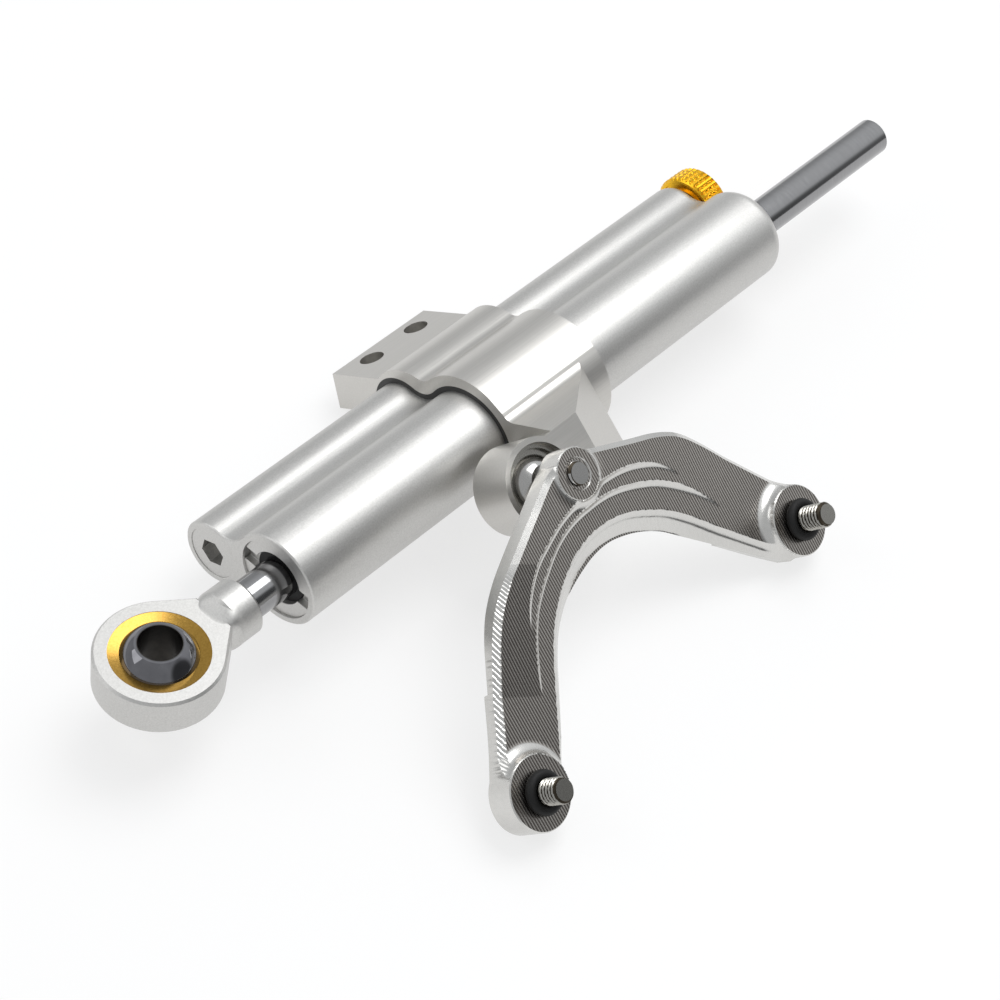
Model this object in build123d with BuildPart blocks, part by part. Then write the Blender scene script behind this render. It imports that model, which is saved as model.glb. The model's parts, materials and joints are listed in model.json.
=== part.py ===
from build123d import *
from math import acos, atan2, cos, degrees, radians, sin, sqrt
import os

# Motorcycle steering damper, lying on its fork tips and on the edge of its clamp's flange.
# The origin is the centre of the ball in the rod's eye. X runs along the rod, away from the eye.
# Z is up in the lying pose and is the axis of the eye's bore. All lengths are millimetres.

# Rod and rod end
rod_radius = 4.0
eye_reach = 29.3
barrel_gap = 8.6
rod_far_reach = 45.1
rod_tip_chamfer = 0.8
eye_radius = 12.0
eye_half_height = 4.0
eye_edge_round = 0.45
neck_length = 13.6
neck_half_width = 4.6
barrel_radius = 5.75
barrel_shoulder = 1.6
barrel_chamfer = 0.5
thread_depth = 8.0
eye_race_radius = 9.24
eye_race_recess = 0.1
eye_race_mouth_radius = 7.0
eye_race_dish = 0.5
eye_ball_radius = 7.9
eye_ball_half_width = 6.4
eye_bore_radius = 4.0

# Clearances
running_gap = 0.03
seat_gap = 0.02
overrun = 1.0

# The two tubes and their web
tube_length = 141.0
main_radius = 9.75
side_radius = 6.72
tube_spacing = 17.07
side_tube_drop = 20.7
web_round = 6.0
tube_edge_chamfer = 0.3
main_bore_radius = 7.0
side_bore_radius = 4.6
far_round = 3.0

# Near gland, bushes and seals
gland_radius = 8.35
gland_length = 16.0
gland_recess = 0.46
gland_slot_width = 3.2
gland_slot_turn = 24.0
gland_slot_depth = 1.4
gland_mouth_radius = 5.6
wiper_length = 3.6
wiper_recess = 1.1
bush_wall = 1.2
bush_length = 9.0
oring_section = 0.8
groove_from_end = 3.0
far_wall = 16.0
far_wiper_recess = 0.5

# Piston on the rod
piston_radius = 6.8
piston_length = 12.0
piston_from_near_face = 88.7
band_length = 4.0
band_depth = 1.0
clip_width = 1.0
clip_reach = 1.3
clip_groove = 0.5

# Side plug, reserve piston and oil ports in the side tube
plug_radius = 5.4
plug_length = 7.0
plug_spigot_length = 4.0
plug_hex_across = 5.0
plug_hex_depth = 3.6
plug_recess = 0.15
reserve_from_near_face = 17.0
reserve_length = 7.0
port_radius = 1.0
near_port_from_near_face = 31.0
far_port_from_far_face = 30.0

# Adjuster at the far end of the side tube
sleeve_length = 20.0
needle_radius = 1.6
needle_length = 9.0
needle_cone = 2.4
needle_setback = 1.6
orifice_radius = 0.9
stem_radius = 2.5
stem_length = 7.0
knob_radius = 7.5
knob_length = 5.8
knob_gap = 0.3
knob_chamfer = 0.5
knob_ribs = 40
knob_rib_depth = 0.28
knob_slot_width = 1.6
knob_slot_depth = 1.2
detent_ball_radius = 0.75
detent_groove_depth = 0.7
detent_proud = 0.8
diamond_turn = 45.0

# Clamp bracket round both tubes
clamp_start = 53.3
clamp_length = 27.0
liner_wall = 1.15
ring_radius = 13.2
hump_radius = 10.2
hump_offset = 14.9
hump_valley_round = 3.0
facet_start = 123.5
facet_end = 141.7
flange_reach = 36.6
flange_root = 23.0
flange_thickness = 8.1
flange_slope_drop = 2.8
flange_hole_radius = 2.55
flange_hole_spacing = 13.0
flange_hole_shift = 0.3
flange_hole_edge = 4.35
rest_drop = 17.38

# Lug and ball joint boss of the clamp
lug_elevation = 48.8
pivot_from_near_face = 46.1
boss_offset = 10.49
boss_face_height = 23.94
boss_radius = 8.77
boss_depth = 10.5
boss_bore_radius = 7.65
lug_back_reach = 14.3
lug_foot_reach = 29.0
lug_under_reach = 16.0
lug_under_height = 12.6
lug_under_start = 4.0
lug_hollow = 2.5
lug_upper_edge = 3.5
lug_flank_height = 0.4
lug_shoulder_height = 2.3
ball_depth = 5.25
cup_front = 3.0
ring_thickness = 0.9
ring_inner_radius = 6.75
ring_groove = 0.4

# Ball stud
pivot_ball_radius = 6.35
stud_neck_radius = 3.4
stud_collar_radius = 4.7
stud_radius = 2.5
stud_proud = 0.5
stud_neck_start = 5.0
collar_gap = 0.05

# Fork
fork_elevation = 47.56
fork_yaw = 5.27
fork_face_height = 14.69
fork_relief = 0.45
fork_thickness = 5.3
tip_thickness = 6.32
left_span = 43.07
left_drop = 41.36
right_span = 43.6
right_drop = 35.58
arm_width = 14.0
arm_chamfer = 1.1
apex_root_drop = 2.6
apex_boss_radius = 5.09
tip_boss_radius = 7.11
gap_edge = 4.1
gap_slope = 50.0
gap_apex_round = 22.4
left_gap_round = 27.4
right_gap_round = 24.4
gap_foot_reach = 10.6
gap_foot_share = 0.4
terrace_step = 0.95
terrace_slope = 55.0
upper_terrace_width = 9.6
lower_terrace_width = 11.2
tip_zone_depth = 1.9
left_zone_share = 0.55
right_zone_share = 0.53
zone_slope = 45.0
apex_counterbore_radius = 2.95
apex_counterbore_depth = 1.5
left_elbow_shares = (0.632, 0.348)
right_elbow_shares = (0.438, 0.278)
left_upper_terrace_shares = [(0.0, 0.156), (0.488, 0.375)]
right_upper_terrace_shares = [(0.069, 0.195), (0.408, 0.351)]
left_lower_terrace_shares = [(0.046, 0.203), (0.508, 0.466), (0.755, 0.822)]
right_lower_terrace_shares = [(0.046, 0.298), (0.397, 0.436), (0.619, 0.787)]

# Screws in the fork's tips
screw_radius = 2.5
screw_head_radius = 4.25
screw_head_height = 2.8
screw_hex_across = 3.0
screw_hex_depth = 1.6
left_screw_proud = 6.5
right_screw_proud = 7.7
screw_end_chamfer = 0.5
screw_seat_radius = 2.6
screw_neck_radius = 2.2
screw_neck_height = 2.2
tip_oring_section = 1.0

# Places along the rod
near_face = eye_reach
far_face = near_face + tube_length
rod_tip = far_face + rod_far_reach
barrel_end = near_face - barrel_gap
pivot_x = near_face + pivot_from_near_face
clamp_front = near_face + clamp_start

# Directions across the rod
roll = radians(side_tube_drop)
to_side = Vector(0, cos(roll), -sin(roll))
side_centre = to_side * tube_spacing
side_axis = Axis(side_centre, (1, 0, 0))
side_section = Plane(origin=side_centre, x_dir=(1, 0, 0), z_dir=(0, 0, 1))

# Lug and fork frames
lug_normal = Vector(0, -cos(radians(lug_elevation)), sin(radians(lug_elevation)))
lug_across = lug_normal.cross(Vector(1, 0, 0))
lug_plane = Plane(origin=(0, 0, 0), x_dir=(1, 0, 0), z_dir=lug_normal)
ball_height = boss_face_height - ball_depth
pivot = Vector(pivot_x, 0, 0) + lug_normal * ball_height - lug_across * boss_offset
pivot_axis = Axis(pivot, lug_normal)
pivot_section = Plane(origin=pivot, x_dir=lug_normal, z_dir=lug_normal.cross(Vector(1, 0, 0)))

fork_level = cos(radians(fork_elevation))
fork_normal = Vector(
    fork_level * sin(radians(fork_yaw)),
    -fork_level * cos(radians(fork_yaw)),
    sin(radians(fork_elevation)),
)
fork_plane = Plane(origin=pivot, x_dir=(1, 0, 0), z_dir=fork_normal)
fork_axis = Axis(pivot, fork_normal)
fork_section = Plane(origin=pivot, x_dir=fork_normal, z_dir=fork_normal.cross(fork_plane.x_dir))
left_arm = (-left_span, -left_drop)
right_arm = (right_span, -right_drop)


def across(x):
    """Plane square to the rod, with its local x towards the side tube."""
    return Plane(origin=(x, 0, 0), x_dir=to_side, z_dir=(1, 0, 0))


def turned(start, end, inner, outer, mode=Mode.ADD):
    """Adds or cuts one step of a turned section, from start to end along the axis."""
    with Locations((start, inner)):
        Rectangle(end - start, outer - inner, align=(Align.MIN, Align.MIN), mode=mode)


def bar(start, end, width):
    """Adds a bar with round ends between two points of the sketch."""
    step = Vector(*end) - Vector(*start)
    with Locations((Vector(*start) + Vector(*end)) * 0.5):
        SlotCenterToCenter(step.length, width, rotation=degrees(atan2(step.Y, step.X)))


def on_arm(arm, shares):
    """Point of the fork's plane at shares of an arm's span and drop."""
    return (arm[0] * shares[0], arm[1] * shares[1])


def joined_rounds(first, second, spacing, hollow):
    """Adds two circles on the local x axis, joined by a hollow round on each side."""
    along = ((first + hollow) ** 2 - (second + hollow) ** 2 + spacing**2) / (2 * spacing)
    up = sqrt((first + hollow) ** 2 - along**2)
    Circle(first)
    with Locations((spacing, 0)):
        Circle(second)
    Polygon((0, 0), (along, up), (spacing, 0), (along, -up), align=None)
    with Locations((along, up), (along, -up)):
        Circle(hollow, mode=Mode.SUBTRACT)


def two_tubes(growth):
    """Adds the outline of the two tubes and their web, grown all round."""
    joined_rounds(main_radius + growth, side_radius + growth, tube_spacing, web_round - growth)


# Twin tube: one extruded body with the piston's bore, the side bore and two oil ports
gland_face = near_face + gland_recess
gland_end = gland_face + gland_length
bush_outer = rod_radius + bush_wall
far_wall_start = far_face - far_wall
far_mouth_radius = bush_outer + seat_gap
detent_radius = (side_bore_radius + side_radius) / 2
detent_pocket = detent_ball_radius + seat_gap

with BuildPart() as twin_tube:
    with BuildSketch(across(near_face)):
        two_tubes(0)
    extrude(amount=tube_length)
    chamfer(twin_tube.edges().group_by(Axis.X)[0], tube_edge_chamfer)
    far_edges = twin_tube.edges().group_by(Axis.X)[-1].filter_by(GeomType.CIRCLE)
    fillet(far_edges.filter_by(lambda edge: abs(edge.radius - main_radius) < seat_gap), far_round)
    with BuildSketch(Plane.XY):
        turned(near_face, gland_end, 0, gland_radius)
        turned(gland_end, far_wall_start, 0, main_bore_radius)
        turned(far_wall_start, far_face, 0, far_mouth_radius)
    revolve(axis=Axis.X, mode=Mode.SUBTRACT)
    with BuildSketch(side_section):
        turned(near_face, near_face + plug_length - plug_spigot_length, 0, plug_radius)
        turned(near_face, far_face, 0, side_bore_radius)
    revolve(axis=side_axis, mode=Mode.SUBTRACT)
    for port_x in (near_face + near_port_from_near_face, far_face - far_port_from_far_face):
        with BuildSketch(Plane(origin=(port_x, 0, 0), x_dir=(1, 0, 0), z_dir=to_side)):
            Circle(port_radius)
        extrude(amount=tube_spacing, mode=Mode.SUBTRACT)
    with BuildSketch(across(far_face)):
        with Locations((tube_spacing + detent_radius, 0)):
            Circle(detent_pocket)
    extrude(amount=-2 * detent_ball_radius, mode=Mode.SUBTRACT)
twin_tube.part.label = "twin_tube"

# Near gland: a slotted nut that holds the rod's bush, its wiper and its own ring seal
mouth_end = gland_face + wiper_recess + wiper_length
gland_outer = gland_radius - seat_gap
gland_ring_radius = gland_radius - oring_section - seat_gap
groove_floor = gland_radius - 2 * oring_section - 2 * seat_gap
groove_middle = gland_end - groove_from_end
groove_half = oring_section + seat_gap

with BuildPart() as near_gland:
    with BuildSketch(Plane.XY):
        turned(gland_face, gland_end, bush_outer + seat_gap, gland_outer)
        turned(gland_face, mouth_end, bush_outer, gland_mouth_radius, mode=Mode.SUBTRACT)
        turned(
            groove_middle - groove_half,
            groove_middle + groove_half,
            groove_floor,
            gland_radius,
            mode=Mode.SUBTRACT,
        )
    revolve(axis=Axis.X)
    with BuildSketch(across(gland_face)):
        Rectangle(2 * gland_radius, gland_slot_width, rotation=gland_slot_turn)
    extrude(amount=gland_slot_depth, mode=Mode.SUBTRACT)
near_gland.part.label = "near_gland"

with BuildPart() as near_gland_ring:
    with BuildSketch(Plane.XY):
        with Locations((groove_middle, gland_ring_radius)):
            Circle(oring_section)
    revolve(axis=Axis.X)
near_gland_ring.part.label = "near_gland_ring"

with BuildPart() as near_rod_bush:
    with BuildSketch(Plane.XY):
        turned(mouth_end, mouth_end + bush_length, rod_radius + running_gap, bush_outer)
    revolve(axis=Axis.X)
near_rod_bush.part.label = "near_rod_bush"

with BuildPart() as near_rod_wiper:
    with BuildSketch(Plane.XY):
        turned(gland_face + wiper_recess, mouth_end, rod_radius + running_gap, gland_mouth_radius - seat_gap)
    revolve(axis=Axis.X)
near_rod_wiper.part.label = "near_rod_wiper"

# Far bush and wiper, seated in the closed far wall of the main tube
far_wiper_end = far_face - far_wiper_recess
far_wiper_start = far_wiper_end - wiper_length

with BuildPart() as far_rod_bush:
    with BuildSketch(Plane.XY):
        turned(far_wall_start, far_wiper_start, rod_radius + running_gap, bush_outer)
    revolve(axis=Axis.X)
far_rod_bush.part.label = "far_rod_bush"

with BuildPart() as far_rod_wiper:
    with BuildSketch(Plane.XY):
        turned(far_wiper_start, far_wiper_end, rod_radius + running_gap, bush_outer)
    revolve(axis=Axis.X)
far_rod_wiper.part.label = "far_rod_wiper"

# Rod through both ends, with the piston held between two clips
rod_root = barrel_end - thread_depth
piston_start = near_face + piston_from_near_face - piston_length / 2
piston_end = piston_start + piston_length
clip_floor = rod_radius - clip_groove

with BuildPart() as piston_rod:
    with BuildSketch(Plane.XY):
        turned(rod_root, rod_tip, 0, rod_radius)
        turned(piston_start - clip_width, piston_start, clip_floor, rod_radius, mode=Mode.SUBTRACT)
        turned(piston_end, piston_end + clip_width, clip_floor, rod_radius, mode=Mode.SUBTRACT)
    revolve(axis=Axis.X)
    chamfer(piston_rod.edges().group_by(Axis.X)[-1], rod_tip_chamfer)
piston_rod.part.label = "piston_rod"

with BuildPart() as piston:
    band_middle = piston_start + piston_length / 2
    with BuildSketch(Plane.XY):
        turned(piston_start, piston_end, rod_radius + seat_gap, piston_radius)
        band_places = (band_middle - band_length / 2, band_middle + band_length / 2)
        turned(*band_places, piston_radius - band_depth, piston_radius, mode=Mode.SUBTRACT)
    revolve(axis=Axis.X)
piston.part.label = "piston"

with BuildPart() as piston_band:
    with BuildSketch(Plane.XY):
        turned(
            band_middle - band_length / 2 + seat_gap,
            band_middle + band_length / 2 - seat_gap,
            piston_radius - band_depth + seat_gap,
            main_bore_radius - running_gap,
        )
    revolve(axis=Axis.X)
piston_band.part.label = "piston_band"

with BuildPart() as piston_clips:
    with BuildSketch(Plane.XY):
        for clip_start in (piston_start - clip_width + seat_gap, piston_end + seat_gap):
            clip_end = clip_start + clip_width - 2 * seat_gap
            turned(clip_start, clip_end, clip_floor + seat_gap, rod_radius + clip_reach)
    revolve(axis=Axis.X)
piston_clips.part.label = "piston_clips"

# Rod end: a flat eye with a drawn-in neck and a round barrel screwed on the rod
neck_turn = degrees(atan2(neck_half_width, neck_length))
neck_distance = sqrt(neck_length**2 + neck_half_width**2)
tangent_turn = neck_turn + degrees(acos(eye_radius / neck_distance))
tangent_x = eye_radius * cos(radians(tangent_turn))
tangent_y = eye_radius * sin(radians(tangent_turn))

with BuildPart() as rod_end:
    with BuildSketch(Plane.XY.offset(-eye_half_height)):
        Circle(eye_radius)
        Polygon(
            (0, 0),
            (tangent_x, tangent_y),
            (neck_length, neck_half_width),
            (neck_length, -neck_half_width),
            (tangent_x, -tangent_y),
            align=None,
        )
    extrude(amount=2 * eye_half_height)
    flat_faces = rod_end.faces().filter_by(Axis.Z)
    chamfer(flat_faces.edges(), eye_edge_round)
    with BuildSketch(Plane.XY):
        Polygon(
            (neck_length - overrun, 0),
            (neck_length - overrun, barrel_radius - barrel_shoulder),
            (neck_length, barrel_radius - barrel_shoulder),
            (neck_length + barrel_shoulder, barrel_radius),
            (barrel_end - barrel_chamfer, barrel_radius),
            (barrel_end, barrel_radius - barrel_chamfer),
            (barrel_end, 0),
            align=None,
        )
    revolve(axis=Axis.X)
    with BuildSketch(Plane.XY):
        turned(rod_root - seat_gap, barrel_end, 0, rod_radius + seat_gap)
    revolve(axis=Axis.X, mode=Mode.SUBTRACT)
    with BuildSketch(Plane.XY.offset(-eye_half_height)):
        Circle(eye_race_radius)
    extrude(amount=2 * eye_half_height, mode=Mode.SUBTRACT)
rod_end.part.label = "rod_end"

race_rim = eye_half_height - eye_race_recess
race_mouth = race_rim - eye_race_dish

with BuildPart() as rod_end_race:
    with BuildSketch(Plane.XZ):
        Polygon(
            (0, -race_mouth),
            (eye_race_mouth_radius, -race_mouth),
            (eye_race_radius, -race_rim),
            (eye_race_radius, race_rim),
            (eye_race_mouth_radius, race_mouth),
            (0, race_mouth),
            align=None,
        )
        Circle(eye_ball_radius + running_gap, mode=Mode.SUBTRACT)
    revolve(axis=Axis.Z)
rod_end_race.part.label = "rod_end_race"

with BuildPart() as rod_end_ball:
    with BuildSketch(Plane.XZ):
        with Locations((eye_bore_radius, 0)):
            Rectangle(eye_ball_radius, 2 * eye_ball_half_width, align=(Align.MIN, Align.CENTER))
        Circle(eye_ball_radius, mode=Mode.INTERSECT)
    revolve(axis=Axis.Z)
rod_end_ball.part.label = "rod_end_ball"

# Side plug with a hex socket and a ring seal
plug_head_end = near_face + plug_length - plug_spigot_length
plug_end = near_face + plug_length
plug_ring_x = plug_head_end + plug_spigot_length / 2

with BuildPart() as side_plug:
    with BuildSketch(side_section):
        turned(near_face + plug_recess, plug_head_end, 0, plug_radius - seat_gap)
        turned(plug_head_end, plug_end, 0, side_bore_radius - seat_gap)
        turned(
            plug_ring_x - groove_half,
            plug_ring_x + groove_half,
            side_bore_radius - 2 * oring_section - 2 * seat_gap,
            side_bore_radius,
            mode=Mode.SUBTRACT,
        )
    revolve(axis=side_axis)
    with BuildSketch(across(near_face)):
        with Locations((tube_spacing, 0)):
            RegularPolygon(plug_hex_across / 2, 6, major_radius=False)
    extrude(amount=plug_recess + plug_hex_depth, mode=Mode.SUBTRACT)
side_plug.part.label = "side_plug"

with BuildPart() as side_plug_ring:
    with BuildSketch(side_section):
        with Locations((plug_ring_x, side_bore_radius - oring_section - seat_gap)):
            Circle(oring_section)
    revolve(axis=side_axis)
side_plug_ring.part.label = "side_plug_ring"

# Reserve piston that floats between the gas behind the plug and the oil
reserve_start = near_face + reserve_from_near_face
reserve_end = reserve_start + reserve_length
reserve_middle = (reserve_start + reserve_end) / 2

with BuildPart() as reserve_piston:
    with BuildSketch(side_section):
        turned(reserve_start, reserve_end, 0, side_bore_radius - running_gap)
        turned(
            reserve_middle - groove_half,
            reserve_middle + groove_half,
            side_bore_radius - 2 * oring_section - 2 * seat_gap - running_gap,
            side_bore_radius,
            mode=Mode.SUBTRACT,
        )
    revolve(axis=side_axis)
reserve_piston.part.label = "reserve_piston"

with BuildPart() as reserve_piston_ring:
    with BuildSketch(side_section):
        with Locations((reserve_middle, side_bore_radius - oring_section - running_gap)):
            Circle(oring_section)
    revolve(axis=side_axis)
reserve_piston_ring.part.label = "reserve_piston_ring"

# Adjuster: a sleeve in the far end of the side tube, its needle and its gold knob
sleeve_start = far_face - sleeve_length
needle_start = sleeve_start + needle_setback
needle_end = needle_start + needle_length
knob_start = far_face + knob_gap
knob_end = knob_start + knob_length
stem_end = knob_start - stem_length

with BuildPart() as adjuster_sleeve:
    with BuildSketch(side_section):
        turned(sleeve_start, far_face, 0, side_bore_radius - seat_gap)
        turned(sleeve_start, far_face, 0, orifice_radius, mode=Mode.SUBTRACT)
        for bore_start, bore_radius in (
            (needle_start - needle_setback / 2, needle_radius),
            (stem_end - knob_gap, stem_radius),
        ):
            turned(bore_start, far_face, 0, bore_radius + running_gap, mode=Mode.SUBTRACT)
    revolve(axis=side_axis)
adjuster_sleeve.part.label = "adjuster_sleeve"

with BuildPart() as metering_needle:
    with BuildSketch(side_section):
        Polygon(
            (needle_start, 0),
            (needle_start + needle_cone, needle_radius),
            (needle_end, needle_radius),
            (needle_end, 0),
            align=None,
        )
    revolve(axis=side_axis)
metering_needle.part.label = "metering_needle"

with BuildPart() as adjuster_knob:
    with BuildSketch(side_section):
        turned(stem_end, knob_start, 0, stem_radius)
        Polygon(
            (knob_start, 0),
            (knob_start, knob_radius - knob_chamfer),
            (knob_start + knob_chamfer, knob_radius),
            (knob_end - knob_chamfer, knob_radius),
            (knob_end, knob_radius - knob_chamfer),
            (knob_end, 0),
            align=None,
        )
        turned(
            knob_start,
            knob_start + detent_groove_depth,
            detent_radius - detent_pocket,
            detent_radius + detent_pocket,
            mode=Mode.SUBTRACT,
        )
    revolve(axis=side_axis)
    with BuildSketch(across(knob_start)):
        with Locations((tube_spacing, 0)):
            with PolarLocations(knob_radius, knob_ribs):
                Rectangle(2 * knob_rib_depth, 2 * knob_rib_depth, rotation=diamond_turn)
    extrude(amount=knob_length, mode=Mode.SUBTRACT)
    with BuildSketch(across(knob_end)):
        with Locations((tube_spacing, 0)):
            Rectangle(2 * knob_radius, knob_slot_width)
    extrude(amount=-knob_slot_depth, mode=Mode.SUBTRACT)
adjuster_knob.part.label = "adjuster_knob"

detent_x = far_face - detent_ball_radius + detent_proud
detent_place = Vector(detent_x, 0, 0) + to_side * (tube_spacing + detent_radius)

with BuildPart() as detent_ball:
    with BuildSketch(Plane(origin=detent_place, x_dir=(1, 0, 0), z_dir=(0, 0, 1))):
        Circle(detent_ball_radius)
        Rectangle(
            2 * detent_ball_radius,
            detent_ball_radius,
            align=(Align.CENTER, Align.MAX),
            mode=Mode.SUBTRACT,
        )
    revolve(axis=Axis(detent_place, (1, 0, 0)))
detent_ball.part.label = "detent_ball"

# Clamp bracket: a ring round the main tube, a hump over the side tube, a flange and a lug
clamp_section = across(clamp_front)
flange_foot = (flange_reach * sin(roll) - rest_drop) / cos(roll)
flange_top = flange_foot + flange_thickness
flange_tilt = atan2(flange_slope_drop, flange_reach - flange_root)
flange_middle = flange_reach - flange_hole_edge * cos(flange_tilt)
hole_height = flange_top + flange_hole_edge * sin(flange_tilt)
hole_middle = clamp_length / 2 + flange_hole_shift
flange_holes = (hole_middle - flange_hole_spacing / 2, hole_middle + flange_hole_spacing / 2)
boss_lower = boss_offset + boss_radius
lug_end = pivot_x + lug_foot_reach


def on_clamp(x, along, up):
    """Point at x along the rod and at two distances in the clamp's own section."""
    return Vector(x, 0, 0) + to_side * along + across(x).y_dir * up


def at_turn(radius, turn):
    """Point of a section at a radius and a turn in degrees."""
    return (radius * cos(radians(turn)), radius * sin(radians(turn)))


flange_up = to_side * sin(flange_tilt) + clamp_section.y_dir * cos(flange_tilt)
flange_origin = on_clamp(clamp_front, flange_middle, hole_height)
flange_plane = Plane(origin=flange_origin, x_dir=(1, 0, 0), z_dir=flange_up)
facet_half_turn = (facet_end - facet_start) / 2
facet_corner_radius = ring_radius / cos(radians(facet_half_turn))

with BuildPart() as clamp_bracket:
    with BuildSketch(clamp_section):
        joined_rounds(ring_radius, hump_radius, hump_offset, hump_valley_round)
        Polygon(
            (flange_root, flange_top + flange_slope_drop),
            (flange_reach, flange_top),
            (flange_reach, flange_foot),
            (flange_root, flange_foot + flange_slope_drop),
            (hump_offset, 0),
            align=None,
        )
        Polygon(
            at_turn(ring_radius, facet_start),
            at_turn(facet_corner_radius, facet_start + facet_half_turn),
            at_turn(ring_radius, facet_end),
            align=None,
            mode=Mode.SUBTRACT,
        )
    extrude(amount=clamp_length)
    with BuildSketch(Plane(origin=(lug_end, 0, 0), x_dir=lug_normal, z_dir=(-1, 0, 0))) as lug_outline:
        Polygon(
            (0, lug_shoulder_height),
            (sqrt(ring_radius**2 - lug_shoulder_height**2), lug_shoulder_height),
            (ring_radius, lug_flank_height),
            (boss_face_height, -lug_upper_edge),
            (boss_face_height, -boss_lower),
            (lug_under_reach, -boss_lower),
            (lug_under_start, -lug_under_height),
            (0, 0),
            align=None,
        )
        flank_foot = lug_outline.vertices().sort_by_distance((ring_radius, lug_flank_height))[0]
        fillet(flank_foot, lug_hollow)
    extrude(amount=lug_end - clamp_front)
    slant_plane = Plane(origin=(0, 0, 0), x_dir=(1, 0, 0), z_dir=-lug_across)
    with BuildSketch(slant_plane):
        Polygon(
            (pivot_x + lug_back_reach, boss_face_height),
            (lug_end, ring_radius),
            (lug_end, boss_face_height),
            align=None,
        )
    extrude(amount=boss_lower + ring_radius, both=True, mode=Mode.SUBTRACT)
    with BuildSketch(lug_plane.offset(boss_face_height)):
        with Locations((pivot_x, -boss_offset)):
            Circle(boss_radius)
        with Locations((pivot_x, -boss_lower)):
            Rectangle(lug_back_reach, boss_lower - lug_upper_edge, align=(Align.MIN, Align.MIN))
    extrude(amount=-boss_depth)
    with BuildSketch(pivot_section):
        turned(-ball_height, ball_depth, 0, boss_bore_radius)
        turned(cup_front, cup_front + ring_thickness, 0, boss_bore_radius + ring_groove)
    revolve(axis=pivot_axis, mode=Mode.SUBTRACT)
    with BuildSketch(across(near_face)):
        two_tubes(liner_wall)
    extrude(amount=tube_length, mode=Mode.SUBTRACT)
    with BuildSketch(flange_plane):
        for place in flange_holes:
            with Locations((place, 0)):
                Circle(flange_hole_radius)
    extrude(amount=2 * flange_thickness, both=True, mode=Mode.SUBTRACT)
clamp_bracket.part.label = "clamp_bracket"

with BuildPart() as clamp_liner:
    with BuildSketch(clamp_section):
        two_tubes(liner_wall - seat_gap)
    extrude(amount=clamp_length)
    with BuildSketch(clamp_section):
        two_tubes(seat_gap)
    extrude(amount=clamp_length, mode=Mode.SUBTRACT)
clamp_liner.part.label = "clamp_liner"

# Ball joint in the lug's boss: a cup, its retaining ring and the ball stud
with BuildPart() as bearing_cup:
    with BuildSketch(pivot_section):
        turned(-ball_depth, cup_front, 0, boss_bore_radius - seat_gap)
        Circle(pivot_ball_radius + running_gap, mode=Mode.SUBTRACT)
    revolve(axis=pivot_axis)
bearing_cup.part.label = "bearing_cup"

with BuildPart() as cup_ring:
    with BuildSketch(pivot_section):
        ring_outer = boss_bore_radius + ring_groove - seat_gap
        turned(cup_front, cup_front + ring_thickness - seat_gap, ring_inner_radius, ring_outer)
    revolve(axis=pivot_axis)
cup_ring.part.label = "cup_ring"

fork_back = fork_face_height - fork_thickness
collar_end = fork_back - collar_gap
stud_end = fork_face_height + stud_proud

with BuildPart() as ball_stud:
    with BuildSketch(fork_section):
        Circle(pivot_ball_radius)
        Polygon(
            (0, 0),
            (stud_neck_start, stud_neck_radius),
            (collar_end, stud_collar_radius),
            (collar_end, 0),
            align=None,
        )
        turned(collar_end, stud_end, 0, stud_radius)
        Rectangle(
            2 * stud_end,
            2 * pivot_ball_radius,
            align=(Align.CENTER, Align.MAX),
            mode=Mode.SUBTRACT,
        )
    revolve(axis=fork_axis)
ball_stud.part.label = "ball_stud"

# Fork: two elbowed arms from the stud to the tips. Their inner edges step and slope down to the gap
arm_face = fork_face_height - fork_relief
arm_plane = fork_plane.offset(arm_face)
arm_root = (0, -apex_root_drop)
left_elbow = on_arm(left_arm, left_elbow_shares)
right_elbow = on_arm(right_arm, right_elbow_shares)
terraces = [
    (terrace_step, upper_terrace_width, left_upper_terrace_shares, right_upper_terrace_shares),
    (2 * terrace_step, lower_terrace_width, left_lower_terrace_shares, right_lower_terrace_shares),
]


def beside(elbow, arm, share, reach):
    """Point of the fork's plane at a share of a lower arm and a reach to its left."""
    step = Vector(*arm) - Vector(*elbow)
    place = Vector(*elbow) + step * share + Vector(-step.Y, step.X) * (reach / step.length)
    return (place.X, place.Y)


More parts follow.
